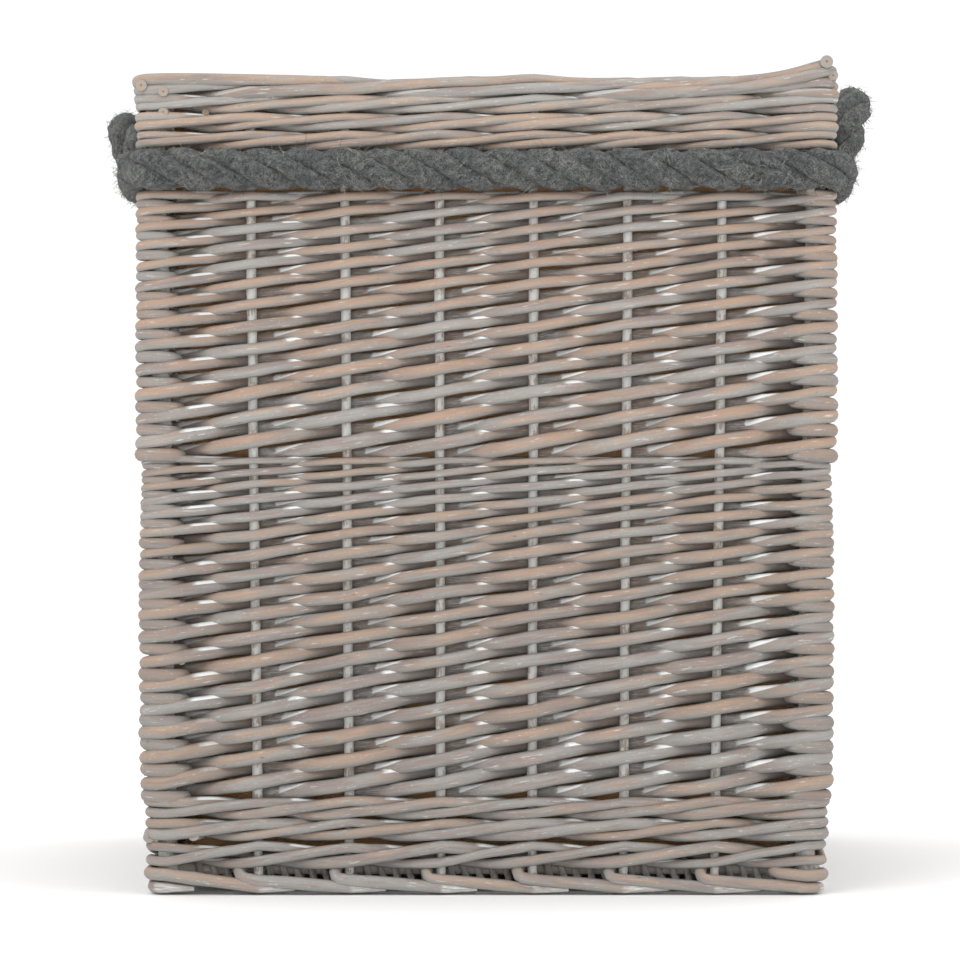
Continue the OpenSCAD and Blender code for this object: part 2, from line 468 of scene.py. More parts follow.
@dataclass(frozen=True)
class HessianFinish:
    """Open plain-woven jute, whose holes let the light through."""

    name: str = "hessian"
    pitch: float = 1.45 * MM
    thread: Colour = (192, 152, 110)
    # the colour of the threads' low parts, which is painted shade, and of darker jute
    dark: Colour = (118, 84, 56)

    def make(self) -> Material:
        """Makes the material from the cloth's own map, in metres.

        Returns:
            The material.
        """
        b = Bench(self.name)
        warp, weft = b.uv("cloth")
        place = b.vector(warp, weft, 0.0)
        wave = b.noise(place, 60, 2, 0.5) * 0.0011
        slub = b.noise(place, 420, 3, 0.6)
        column = (warp + wave) / self.pitch
        row = (weft + wave) / self.pitch
        off_column = b.maths("ABSOLUTE", b.maths("FRACT", column) - 0.5)
        off_row = b.maths("ABSOLUTE", b.maths("FRACT", row) - 0.5)
        width = 0.33 + (slub - 0.5) * 0.32
        is_column = b.step(off_column, width + 0.05, width - 0.05)
        is_row = b.step(off_row, width + 0.05, width - 0.05)
        cover = b.maths("MAXIMUM", is_column, is_row)
        over = b.maths("PINGPONG", b.maths("FLOOR", column) + b.maths("FLOOR", row), 1.0)
        height_c = (1 - off_column * 2) * (0.55 + over * 0.45) * is_column
        height_r = (1 - off_row * 2) * (1.0 - over * 0.45) * is_row
        height = b.maths("MAXIMUM", height_c, height_r)
        tint = b.noise(place, 900, 3, 0.7)
        # the threads are darker where they dip low, which is painted shade, and mottled by the
        # jute's own tone
        colour = b.blend(srgb(*self.dark), srgb(*self.thread),
                         b.step(tint * 0.8 + height * 0.5, 0.30, 0.85))
        return b.finish(Base_Color=colour, Roughness=0.92, Specular_IOR_Level=0.15,
                        Alpha=cover, Normal=b.bump(height, 0.5 * MM, 0.7))


@dataclass(frozen=True)
class RopeFinish:
    """Dark natural-fibre rope, matt and hairy."""

    name: str = "rope_yarn"
    deep: Colour = (24, 26, 29)
    face: Colour = (106, 109, 110)
    hair: Colour = (160, 161, 153)

    def make(self) -> Material:
        """Makes the material from the strands' own maps.

        Returns:
            The material.
        """
        b = Bench(self.name)
        _, around = b.uv("stroke")
        length, tone = b.uv("grain")
        angle = around * math.tau
        twist = length * 300
        strand = Surface(b, length, tone, b.maths("COSINE", angle - twist),
                         b.maths("SINE", angle - twist))
        fibres = strand.noise(90, 3.2, 41, 1.6, 5, 0.72)
        tufts = b.noise(b.place(), 260, 4, 0.65)
        large = b.noise(b.place(), 45, 2, 0.5)
        fine = b.noise(b.place(), 1900, 3, 0.7)
        clumps = b.noise(b.place(), 620, 3, 0.7)
        light = b.step(fibres * 0.40 + fine * 0.30 + tufts * 0.3 + clumps * 0.35, 0.57, 0.83)
        colour = b.blend(srgb(*self.deep), srgb(*self.face), light)
        colour = b.blend(colour, srgb(*self.hair),
                         b.step(fine + tufts * 0.35 + large * 0.2, 0.79, 0.93) * 0.8)
        height = fibres * 0.9 + tufts * 0.9 + fine * 0.35
        return b.finish(Base_Color=colour, Roughness=0.95, Specular_IOR_Level=0.12,
                        Sheen_Weight=0.25, Sheen_Roughness=0.6,
                        Normal=b.bump(height, 2.6 * MM, 1.0))


@dataclass(frozen=True)
class FibreFinish:
    """Loose fibres that stand out of the rope."""

    name: str = "rope_fibre"
    pale: Colour = (176, 177, 171)
    dark: Colour = (44, 47, 50)

    def make(self) -> Material:
        """Makes the material; each fibre has its own tone.

        Returns:
            The material.
        """
        b = Bench(self.name)
        _, tone = b.uv("grain")
        colour = b.blend(srgb(*self.dark), srgb(*self.pale),
                         b.step(b.chance(tone * 613), 0.22, 1.0))
        return b.finish(Base_Color=colour, Roughness=0.8, Specular_IOR_Level=0.2)


@dataclass(frozen=True)
class FloorFinish:
    """The studio floor, pale and matt."""

    name: str = "studio_floor"

    def make(self) -> Material:
        """Makes the material.

        Returns:
            The material.
        """
        b = Bench(self.name)
        mottle = b.noise(b.place(), 3.0, 2, 0.5)
        return b.finish(Base_Color=b.blend(srgb(250, 250, 250), srgb(253, 253, 253), mottle),
                        Roughness=0.9, Specular_IOR_Level=0.0)


# ---------------------------------------------------------------- rods and bundles


@dataclass
class Rod:
    """A rod, strand or fibre: a line of rings, with each ring's place in the weave."""

    points: Array
    radii: Array
    stroke: Array
    tone: float
    flat: float = 1.0
    frames: Optional[tuple[Array, Array]] = None
    lumps: Optional[Array] = None  # a factor on the radius for each ring and side


def unit(vectors: Array) -> Array:
    """Vectors of length 1."""
    return vectors / np.maximum(np.linalg.norm(vectors, axis=-1, keepdims=True), 1e-12)


def lengths(points: Array) -> Array:
    """How far along a line each of its points is."""
    return np.concatenate([[0.0], np.cumsum(np.linalg.norm(np.diff(points, axis=0), axis=1))])


def level_frames(points: Array) -> tuple[Array, Array]:
    """Directions across a line that never stands upright.

    Args:
        points: The line's points.

    Returns:
        At each point, the level direction to the right of the line, and the one that rises.
    """
    along = unit(np.gradient(points, axis=0))
    out = unit(np.cross(along, UP))
    return out, np.cross(out, along)


def carried_frames(points: Array, first: Array) -> tuple[Array, Array]:
    """Directions across a line, carried along it without twist.

    Args:
        points: The line's points.
        first: The first direction, roughly across the line.

    Returns:
        At each point, two directions across the line.
    """
    along = unit(np.gradient(points, axis=0))
    outs = np.empty_like(along)
    out = first
    for i, t in enumerate(along):
        out = out - t * np.dot(out, t)
        out = out / np.linalg.norm(out)
        outs[i] = out
    return outs, np.cross(outs, along)


class Bundle:
    """Gathers rods and makes one mesh of them."""

    def __init__(self, sides: int) -> None:
        """Starts an empty bundle.

        Args:
            sides: How many sides each rod has.
        """
        self.sides = sides
        self.points: list[Array] = []
        self.faces: list[list[int]] = []
        self.stroke: list[Array] = []
        self.grain: list[Array] = []
        self.slots: list[int] = []
        self.count = 0

    def add(self, rod: Rod, slot: int = 0, cap_slot: int = 1) -> None:
        """Adds a rod with closed ends.

        Args:
            rod: The rod.
            slot: Its material slot.
            cap_slot: The material slot of its cut ends.
        """
        out, rise = rod.frames or level_frames(rod.points)
        rings, sides = len(rod.points), self.sides
        angle = math.tau * np.arange(sides) / sides
        spoke = (-np.cos(angle)[None, :, None] * out[:, None, :]
                 - np.sin(angle)[None, :, None] * rod.flat * rise[:, None, :])
        reach = rod.radii[:, None] * (np.ones((rings, sides)) if rod.lumps is None else rod.lumps)
        body = rod.points[:, None, :] + reach[:, :, None] * spoke
        self.points += [body.reshape(-1, 3), rod.points[[0, -1]]]

        i = np.arange(rings - 1)[:, None] * sides + self.count
        k = np.arange(sides)[None, :]
        k1 = (k + 1) % sides
        quads = np.stack([i + k, i + sides + k, i + sides + k1, i + k1], -1).reshape(-1, 4)
        first, last = self.count, self.count + (rings - 1) * sides
        mid = first + rings * sides + 0 * k[0]
        near = np.stack([mid, first + k[0], first + k1[0]], -1)
        end = np.stack([mid + 1, last + k1[0], last + k[0]], -1)
        self.faces += quads.tolist() + near.tolist() + end.tolist()
        self.slots += [slot] * len(quads) + [cap_slot] * (2 * sides)

        far = lengths(rod.points)
        s0, s1 = rod.stroke[:-1, None], rod.stroke[1:, None]
        l0, l1 = far[:-1, None], far[1:, None]
        v0, v1 = k / sides, (k + 1) / sides
        tone = np.full((1, sides), rod.tone)
        disc = [[0.5, 0.5], [1.0, 0.5], [0.5, 1.0]]
        share = [[0.0, rod.tone], [1.0, rod.tone], [1.0, rod.tone]]
        self.stroke += [self.spread(s0, v0, s1, v0, s1, v1, s0, v1), np.tile(disc, (2 * sides, 1))]
        self.grain += [self.spread(l0, tone, l1, tone, l1, tone, l0, tone),
                       np.tile(share, (2 * sides, 1))]
        self.count += rings * sides + 2

    @staticmethod
    def spread(*numbers: Array) -> Array:
        """The map places of each face's four corners, from two numbers for each."""
        return np.stack(np.broadcast_arrays(*numbers), -1).reshape(-1, 2)

    def build(self, name: str, materials: Sequence[Material]) -> bpy.types.Object:
        """Makes the object.

        Args:
            name: Its name.
            materials: Its materials by slot.

        Returns:
            The object, at the origin.
        """
        mesh = bpy.data.meshes.new(name)
        mesh.from_pydata(np.concatenate(self.points).tolist(), [], self.faces)
        for title, parts in (("stroke", self.stroke), ("grain", self.grain)):
            layer = mesh.uv_layers.new(name=title)
            layer.data.foreach_set("uv", np.concatenate(parts).astype(np.float32).ravel())
        mesh.polygons.foreach_set("material_index", self.slots)
        mesh.polygons.foreach_set("use_smooth", [True] * len(self.faces))
        mesh.set_sharp_from_angle(angle=math.radians(50))
        for material in materials:
            mesh.materials.append(material)
        made = bpy.data.objects.new(name, mesh)
        bpy.context.scene.collection.objects.link(made)
        return made


def report(piece: bpy.types.Object, body: str, nodes: Iterable[str]) -> None:
    """Ties a finished piece to the frame and logs it.

    Args:
        piece: The piece.
        body: The body that it rides on.
        nodes: The CAD nodes that it stands for.
    """
    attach(piece, body)
    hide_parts(*nodes)
    log.info("%s: %d faces, on %s", piece.name, len(piece.data.polygons), body)


# ---------------------------------------------------------------- plan


@dataclass(frozen=True)
class Upright:
    """A stake or corner post as the CAD has it."""

    name: str
    foot: Array
    head: Array
    radius: float

    def at(self, z: float) -> Array:
        """The middle of the upright at a height."""
        share = (z - self.foot[2]) / (self.head[2] - self.foot[2])
        return self.foot + (self.head - self.foot) * share


class Plan:
    """The uprights in order, counter-clockwise from above, from the front left post."""

    CORNERS = ("front_left", "front_right", "back_right", "back_left")
    SIDES = ("front", "right", "back", "left")
    OUTWARD = ((0.0, -1.0), (1.0, 0.0), (0.0, 1.0), (-1.0, 0.0))

    def __init__(self) -> None:
        """Reads each upright from its CAD node."""
        self.uprights: list[Upright] = []
        for corner, side in zip(self.CORNERS, self.SIDES):
            self.uprights.append(self.read(f"corner_post_{corner}"))
            for k in range(1, GAPS_PER_SIDE):
                self.uprights.append(self.read(f"stake_{side}_{k}"))

    @staticmethod
    def read(node: str) -> Upright:
        """Measures one upright.

        Args:
            node: The CAD node's name.

        Returns:
            The upright.
        """
        places = np.array([v.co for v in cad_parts[node].data.vertices])
        z = places[:, 2]
        lowest, highest = places[z < z.min() + 2 * MM], places[z > z.max() - 2 * MM]
        foot, head = ((ring.min(0) + ring.max(0)) / 2 for ring in (lowest, highest))
        radius = float((lowest.max(0) - lowest.min(0))[:2].mean() / 2)
        return Upright(node, foot, head, radius)

    def upright(self, index: int) -> Upright:
        """The upright at an index that may run on round the basket."""
        return self.uprights[index % ROUND]

    def outward(self, index: int) -> Array:
        """The way out of the side that holds the gap after an upright."""
        x, y = self.OUTWARD[(index % ROUND) // GAPS_PER_SIDE]
        return np.array([x, y, 0.0])

    @staticmethod
    def is_corner(index: int) -> bool:
        """Whether the upright at an index is a corner post."""
        return index % GAPS_PER_SIDE == 0


class Turn(Enum):
    """How a rod that is behind a corner post gets past it."""

    WRAP = "once round the post"
    INSIDE = "past it on the inside"


@dataclass
class Pass:
    """Where a rod crosses an upright, or stands level with it."""

    index: int
    out: float  # 1 in front, -1 behind, or a share of either
    z: float
    stroke: float
    radius: float
    reach: Optional[float] = None  # distance from the upright's middle, if it isn't touched
    bow: float = 0.0  # how far the rod rises above a straight line in the gap after it


@dataclass
class Lead:
    """Leads a rod past the uprights."""

    plan: Plan
    turn: Turn = Turn.WRAP
    press: float = 0.97
    corner_room: float = 1.1 * MM
    inner_turn: float = 10.0 * MM
    steps: int = 9
    wrap_rise: float = 0.0
    wrap_stroke: float = 0.12

    def crossing(self, p: Pass) -> tuple[Array, Array]:
        """The points of one crossing.

        Args:
            p: The crossing.

        Returns:
            Its points and their stroke numbers.
        """
        upright = self.plan.upright(p.index)
        centre = upright.at(p.z)
        centre[2] = p.z
        after = self.plan.outward(p.index)
        if not self.plan.is_corner(p.index):
            reach = upright.radius + p.radius * self.press if p.reach is None else p.reach
            return (centre + after * p.out * reach)[None, :], np.array([p.stroke])
        before = self.plan.outward(p.index - 1)
        start = math.atan2(before[1], before[0])
        radius = upright.radius + p.radius + self.corner_room if p.reach is None else p.reach
        if p.out > 0:
            angles = np.linspace(start, start + math.pi / 2, 5)
        elif self.turn is Turn.WRAP:
            angles = np.linspace(start + math.pi, start - math.pi / 2, 13)
        else:
            hold = (upright.radius + p.radius + self.inner_turn) / math.sqrt(2) - self.inner_turn
            centre = centre - (before + after) * (hold + self.inner_turn)
            radius = self.inner_turn
            angles = np.linspace(start, start + math.pi / 2, 5)
        share = np.linspace(-0.5, 0.5, len(angles))
        ring = np.stack([np.cos(angles), np.sin(angles), np.zeros_like(angles)], -1)
        points = centre + radius * ring + UP * (share * self.wrap_rise)[:, None]
        return points, p.stroke + share * 2 * self.wrap_stroke

    def line(self, passes: Sequence[Pass]) -> tuple[Array, Array]:
        """The whole line of a rod.

        Args:
            passes: Its crossings in order.

        Returns:
            Its points and their stroke numbers.
        """
        share = np.arange(1, self.steps) / self.steps
        ease = (1 - np.cos(math.pi * share)) / 2
        points, strokes = [], []
        for p, q in zip(passes, list(passes[1:]) + [None]):
            here, stroke = self.crossing(p)
            points.append(here)
            strokes.append(stroke)
            if q is None:
                break
            there, stroke_there = self.crossing(q)
            side = self.plan.outward(p.index)
            a, c = here[-1], there[0]
            gap = a + (c - a) * share[:, None]
            shift = (c - a) @ side * (ease - share)
            bow = p.bow * np.sin(math.pi * share)
            points.append(gap + side * shift[:, None] + UP * bow[:, None])
            strokes.append(stroke[-1] + (stroke_there[0] - stroke[-1]) * share)
        return np.concatenate(points), np.concatenate(strokes)

    def rod(self, passes: Sequence[Pass], wandering: float, flat: float, rng: Rng,
            low: float = -NO_END, high: float = NO_END) -> Rod:
        """A rod that is led past its crossings, wanders a little and has knots.

        Args:
            passes: Its crossings in order.
            wandering: How far it wanders, in metres.
            flat: How round it is.
            rng: Random numbers.
            low: The stroke that it is kept from.
            high: The stroke that it is kept to.

        Returns:
            The rod.
        """
        points, stroke = self.line(passes)
        kept = (stroke > low) & (stroke < high)
        points, stroke = wander(points[kept], rng, wandering), stroke[kept]
        radii = np.interp(stroke, [p.stroke for p in passes], [p.radius for p in passes])
        return Rod(points, knotted(radii, lengths(points), rng), stroke, rng.uniform(), flat)


def wander(points: Array, rng: Rng, amount: float) -> Array:
    """Lets a line wander a little, as a real rod does.

    Args:
        points: The line's points.
        rng: Random numbers.
        amount: How far it wanders, in metres.

    Returns:
        The new points.
    """
    far = lengths(points)
    out, rise = level_frames(points)
    moved = points.copy()
    for direction, share in ((rise, 1.0), (out, 0.6)):
        for wave in (0.046, 0.083, 0.19):
            size = amount * share * rng.uniform(0.3, 1.0)
            start = rng.uniform(0, math.tau)
            moved += direction * (size * np.sin(math.tau * far / wave + start))[:, None]
    return moved


def knotted(radii: Array, far: Array, rng: Rng) -> Array:
    """Gives a rod knots and an uneven thickness.

    Args:
        radii: Its radii.
        far: How far along the rod each is.
        rng: Random numbers.

    Returns:
        The new radii.
    """
    uneven = 1 + 0.03 * np.sin(math.tau * far / rng.uniform(0.05, 0.09) + rng.uniform(0, math.tau))
    for place in np.arange(rng.uniform(0, 0.12), far[-1], 0.13):
        place += rng.uniform(-0.04, 0.04)
        uneven += 0.10 * np.exp(-(((far - place) / 0.0045) ** 2))
    return radii * uneven


# ---------------------------------------------------------------- willow work


@dataclass
class WillowWork:
    """A part of the basket that is made of rods, round the uprights."""

    plan: Plan
    willow: Material
    cut: Material

    def tie(self, bundle: Bundle, name: str, slot: str, nodes: Iterable[str]) -> None:
        """Makes a piece of a bundle of rods and ties it to the frame.

        Args:
            bundle: The rods.
            name: The piece's name.
            slot: Not used.
            nodes: The CAD nodes that it stands for.
        """
        report(bundle.build(name, [self.willow, self.cut]), "basket", nodes)


@dataclass
class Rand(WillowWork):
    """A band of French randing: a rod starts behind every upright and passes in front of
    and behind them by turns, up and to the right, from its butt to its tip."""

    node: str
    levels: int
    butt_d: float
    tip_d: float
    first_pitch: float
    last_pitch: float
    power: float  # 1 if the rods thin evenly, more if mostly at their tips
    rise: float  # the first crossing above the band's foot
    drop: float  # the last crossing below its top
    seed: int
    sides: int = 12
    flat: float = 0.97
    drift: float = 1.2 * MM  # how far a whole rod's level strays, in long waves
    wandering: float = 0.22 * MM
    bow: float = 0.14  # how far a rod rises above its straight line, as a share of the pitch
    climb: float = 0.25  # what it climbs round a post, as a share of the first pitch
    past_top: float = 0.8 * MM  # how far above the last level its tip ends
    butt_share: float = 0.88  # the radii of its two ends, as shares
    tip_share: float = 0.7

    def heights(self) -> Array:
        """Heights of the levels, closer together as the rods get thinner."""
        low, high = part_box(self.node)
        thinning = np.linspace(0, 1, self.levels) ** self.power
        pitch = self.first_pitch + (self.last_pitch - self.first_pitch) * thinning
        share = np.concatenate([[0.0], np.cumsum(pitch)]) / pitch.sum()
        return low.z + self.rise + (high.z - self.drop - low.z - self.rise) * share

    def build(self) -> None:
        """Weaves the band and ties its pieces to the frame."""
        rng = np.random.default_rng(self.seed)
        z = self.heights()
        wave = rng.uniform(9, 17, ROUND)
        start = rng.uniform(0, math.tau, ROUND)
        lead = Lead(self.plan, Turn.WRAP, wrap_rise=self.climb * (z[1] - z[0]))
        for quarter, side in enumerate(self.plan.SIDES):
            bundle = Bundle(self.sides)
            for j in range(quarter * GAPS_PER_SIDE, (quarter + 1) * GAPS_PER_SIDE):
                scale = rng.uniform(0.93, 1.07)
                passes = []
                for t in range(self.levels + 2):
                    i = (j + t) % ROUND
                    share = min(t / self.levels, 1.0) ** self.power
                    level = z[t] if t <= self.levels else z[-1] + self.past_top
                    radius = scale * (self.butt_d + (self.tip_d - self.butt_d) * share) / 2
                    fade = max(0.0, min(1.0, (t + 1) / 3, (self.levels - t) / 3))
                    drift = fade * self.drift * math.sin(math.tau * t / wave[i] + start[i])
                    front = 1.0 if t % 2 else -1.0
                    bow = front * self.bow * (z[t + 1] - z[t]) if t < self.levels else 0.0
                    passes.append(Pass(j + t, front, level + drift, float(t), radius, bow=bow))
                rod = lead.rod(passes, self.wandering, self.flat, rng)
                rod.radii[0] *= self.butt_share
                rod.radii[-1] *= self.tip_share
                bundle.add(rod)
            self.tie(bundle, f"{self.node}_rods_{side}", "rand_willow", [self.node])


@dataclass
class Wale(WillowWork):
    """Rounds of three-rod waling: each rod passes in front of two uprights and behind one."""

    nodes: Sequence[str]
    thick_d: float
    thin_d: float
    seed: int
    sink: float = 0.0  # how far the first round's rods start below it
    sides: int = 12
    rods_per_round: int = 4
    flat: float = 0.95
    wandering: float = 0.25 * MM
    jitter: float = 0.5 * MM

    # by the phase of a stroke, which is 0 behind, and 1 and 2 in front
    SHARES = (0.47, 0.25, 0.75)  # height in the round
    SINKS = (1.0, 0.75, 0.15)  # share of the sink
    BOWS = (-0.20, 0.0, 0.06)  # bow in the gap after it, as a share of the round's height

    def build(self) -> None:
        """Weaves the rounds and ties them to the frame."""
        rng = np.random.default_rng(self.seed)
        lead = Lead(self.plan, Turn.INSIDE, corner_room=0.6 * MM)
        strokes = 3 * ROUND // self.rods_per_round
        for number, node in enumerate(self.nodes):
            low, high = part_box(node)
            sink = self.sink if number == 0 else 0.0
            bundle = Bundle(self.sides)
            for rod in range(self.rods_per_round):
                first = 2 * number + 1 + rod * strokes
                scale = rng.uniform(0.95, 1.05)
                passes = []
                for m in range(strokes + 1):
                    phase = m % 3
                    share = m / strokes
                    radius = scale * (self.thick_d + (self.thin_d - self.thick_d) * share) / 2
                    level = low.z + (high.z - low.z) * self.SHARES[phase]
                    z = level - self.SINKS[phase] * sink + rng.uniform(-1.0, 1.0) * self.jitter
                    bow = (high.z - low.z) * self.BOWS[phase]
                    passes.append(Pass(first + m, 1.0 if phase else -1.0, z, float(m), radius,
                                       bow=bow))
                bundle.add(lead.rod(passes, self.wandering, self.flat, rng))
            self.tie(bundle, node + "_rods", "wale_willow", [node])


@dataclass
class FootBorder(WillowWork):
    """The foot: rods that come out between the uprights, slope down to the right past two
    of them and end on the floor in long slanting cuts."""

    node: str = "foot_border"
    rod_d: float = 8.2 * MM
    seed: int = 31
    sides: int = 14
    flat: float = 0.96
    wandering: float = 0.15 * MM

    # the bent start of a rod in mm: back along it, inwards and up, and its strokes
    HOOK = ((1.0, 11.0, 9.0), (2.6, 6.5, 6.6), (3.4, 2.6, 3.6), (2.4, 0.6, 1.0))
    HOOK_STROKES = (0.10, 0.07, 0.04, 0.02)
    # how it thins to its slanting cut, by strokes
    THINNING = ((0, 0.95), (1.6, 1.0), (2.0, 0.95), (2.5, 0.3))

    def build(self) -> None:
        """Makes the border and ties it to the frame."""
        plan = self.plan
        rng = np.random.default_rng(self.seed)
        low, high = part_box(self.node)
        bundle = Bundle(self.sides)
        lead = Lead(plan, Turn.INSIDE, corner_room=0.4 * MM, steps=10)
        for k in range(ROUND):
            r = self.rod_d / 2 * rng.uniform(0.92, 1.08)
            nudge = rng.uniform(-0.6, 0.6) * MM
            at_corner = plan.is_corner(k + 1)
            passes = [
                Pass(k, -1.0, high.z + 2.4 * MM + nudge, 0.0, r),
                Pass(k + 1, 1.0, high.z - (2.0 if at_corner else 5.5) * MM + nudge, 1.0, r),
                Pass(k + 2, 1.0, low.z + r * 1.02, 2.0, r * 0.92,
                     plan.upright(k + 2).radius + r * 0.62),
                Pass(k + 3, 1.0, low.z + r * 0.72, 3.0, r * 0.5,
                     plan.upright(k + 3).radius + r * 0.40),
            ]
            points, stroke = lead.line(passes)
            start = 0.56 if at_corner else 0.80
            keep = (stroke > start) & (stroke < 2.42 + rng.uniform(-0.12, 0.12))
            points, stroke = points[keep], stroke[keep]
            points = wander(points, rng, self.wandering)
            back, inward = unit(points[0] - points[1]), -plan.outward(k)
            lift = 0.25 if at_corner else 1.0
            hook = [points[0] + (a * back + c * inward + e * lift * UP) * MM
                    for a, c, e in self.HOOK]
            points = np.vstack([hook, points])
            stroke = np.concatenate([start - np.array(self.HOOK_STROKES), stroke])
            outs = carried_frames(points[::-1], plan.outward(k + 2))[0][::-1]
            frames = outs, np.cross(outs, unit(np.gradient(points, axis=0)))
            strokes, shares = zip(*self.THINNING)
            radii = np.interp(stroke, strokes, [r * share for share in shares])
            radii = knotted(radii, lengths(points), rng)
            points[:, 2] = np.maximum(points[:, 2], low.z + radii)
            bundle.add(Rod(points, radii, stroke, rng.uniform(), self.flat, frames))
        self.tie(bundle, "foot_border_rods", "border_willow", [self.node])


@dataclass
class TopBorder(WillowWork):
    """The rolled top border: rods rise to the right over the top wale, roll over the rim and
    end inside. At the front right corner some stand up as an ear."""

    node: str = "top_border"
    rod_d: float = 7.6 * MM
    seed: int = 47
    sides: int = 14
    flat: float = 0.97
    corner_reach: float = 4.0 * MM  # what a reach grows by at a corner post

    # a rod's crossings: out, height above the border's lowest in mm, and reach in mm
    OUTER = ((-1.0, -3.0, None), (1.0, -0.4, None), (1.0, 2.6, None), (1.0, 6.6, 3.6),
             (1.0, 8.4, 1.2), (-1.0, 5.0, None))
    INNER = ((1.0, -3.5, None), (-1.0, 0.5, None), (-1.0, 3.8, None), (-1.0, 6.2, None),
             (-1.0, 7.2, None), (-1.0, 2.0, None))

    # the rods that end at the front corners: the corner, the radius in mm, and stations from
    # the post's middle, to the right in metres, and back and up in mm
    CORNER_RODS = (
        # two long rods that climb to the ear
        (GAPS_PER_SIDE, 3.7, (
            (-0.150, 3.0, -2.0), (-0.120, -7.5, 2.5), (-0.07, -9.5, 6.0), (-0.03, -9.0, 10.0),
            (-0.008, -7.5, 15.0), (0.003, -4.0, 18.6), (0.007, 12.0, 18.0))),
        (GAPS_PER_SIDE, 3.4, (
            (-0.112, 2.0, -4.0), (-0.085, -10.5, 0.0), (-0.05, -12.5, 3.5), (-0.02, -12.0, 8.5),
            (0.0, -9.0, 13.0), (0.0085, -1.0, 15.5), (0.010, 12.0, 14.5))),
        # the butts of three rods of the right side, cut off short at the corner
        (GAPS_PER_SIDE, 4.3, (
            (0.0050, -10.8, 20.4), (0.0046, 10.0, 18.5), (0.006, 60.0, 11.0),
            (0.006, 120.0, 6.0), (-0.002, 165.0, 2.0))),
        (GAPS_PER_SIDE, 3.4, (
            (0.0095, -7.0, 11.8), (0.0098, 10.0, 11.5), (0.0095, 60.0, 7.0),
            (0.0085, 110.0, 3.0), (-0.001, 150.0, -1.0))),
        (GAPS_PER_SIDE, 3.2, (
            (0.0100, -5.0, 4.6), (0.0102, 10.0, 4.6), (0.0100, 50.0, 1.0),
            (0.0080, 90.0, -2.0), (-0.001, 120.0, -4.0))),
        # the left corner's knuckle and its cut ends
        (0, 4.0, (
            (0.001, 125.0, 0.0), (-0.010, 85.0, 5.0), (-0.0112, 40.0, 8.0), (-0.0118, 8.0, 8.4),
            (-0.0085, -6.5, 8.4), (0.004, -10.5, 8.8), (0.05, -10.0, 8.6), (0.10, -7.0, 7.6),
            (0.14, -1.0, 5.0), (0.17, 6.0, 2.0))),
        (0, 3.6, ((-0.0080, -14.0, 4.6), (-0.0076, 2.0, 4.0), (-0.003, 30.0, 3.0))),
        (0, 3.3, ((0.0063, -14.5, 0.6), (0.0068, 2.0, 0.8), (0.0075, 8.0, 1.0))),
    )

    def build(self) -> None:
        """Makes the border and ties it to the frame."""
        rng = np.random.default_rng(self.seed)
        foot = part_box(self.node)[0].z
        bundle = Bundle(self.sides)
        for k in range(0, ROUND, 2):
            r = self.rod_d / 2 * rng.uniform(0.92, 1.08)
            bundle.add(self.rolled(k, foot, r, self.OUTER, 0.35 * MM, (0.04, 5.2), rng))
        for k in range(1, ROUND, 2):
            r = self.rod_d / 2 * rng.uniform(0.86, 1.0)
            bundle.add(self.rolled(k, foot, r, self.INNER, 0.3 * MM, (0.2, 4.9), rng))
        for corner, radius, stations in self.CORNER_RODS:
            x, y, _ = self.plan.upright(corner).at(foot)
            points = smooth_line(np.array([[x + right, y + back * MM, foot + up * MM]
                                           for right, back, up in stations]), 3.5 * MM)
            far = lengths(points)
            radii = knotted(np.full(len(points), radius * MM), far, rng)
            bundle.add(Rod(points, radii, 0.8 + far * 3, rng.uniform()))
        self.tie(bundle, "top_border_rods", "border_willow", [self.node])

    def rolled(self, k: int, foot: float, r: float,
               stations: Sequence[tuple[float, float, Optional[float]]], wandering: float,
               kept: tuple[float, float], rng: Rng) -> Rod:
        """A rod that is rolled over the rim.

        Args:
            k: The upright that it comes out at.
            foot: The border's lowest height.
            r: Its radius.
            stations: Its crossings.
            wandering: How far it wanders, in metres.
            kept: The strokes that it is kept from and to.
            rng: Random numbers.

        Returns:
            The rod.
        """
        lead = Lead(self.plan, Turn.INSIDE, corner_room=0.4 * MM)
        nudge = rng.uniform(-0.5, 0.5) * MM
        passes = []
        for n, (out, rise, reach) in enumerate(stations):
            if reach is not None:
                reach = reach * MM + self.corner_reach * self.plan.is_corner(k + n)
            passes.append(Pass(k + n, out, foot + rise * MM + nudge, float(n), r, reach))
        rod = lead.rod(passes, wandering, self.flat, rng, *kept)
        rod.stroke = rod.stroke * 0.5
        return rod


def smooth_line(anchors: Array, spacing: float) -> Array:
    """A smooth line through some points.

    Args:
        anchors: The points.
        spacing: How far apart the line's points are.

    Returns:
        The line's points.
    """
    padded = np.vstack([2 * anchors[0] - anchors[1], anchors, 2 * anchors[-1] - anchors[-2]])
    points = [anchors[0]]
    for a, b, c, d in zip(padded, padded[1:], padded[2:], padded[3:]):
        count = max(2, int(math.ceil(np.linalg.norm(c - b) / spacing)))
        for t in np.arange(1, count + 1) / count:
            points.append(0.5 * (2 * b + (c - a) * t + (2 * a - 5 * b + 4 * c - d) * t * t
                                 + (3 * b - a - 3 * c + d) * t ** 3))
    return np.array(points)


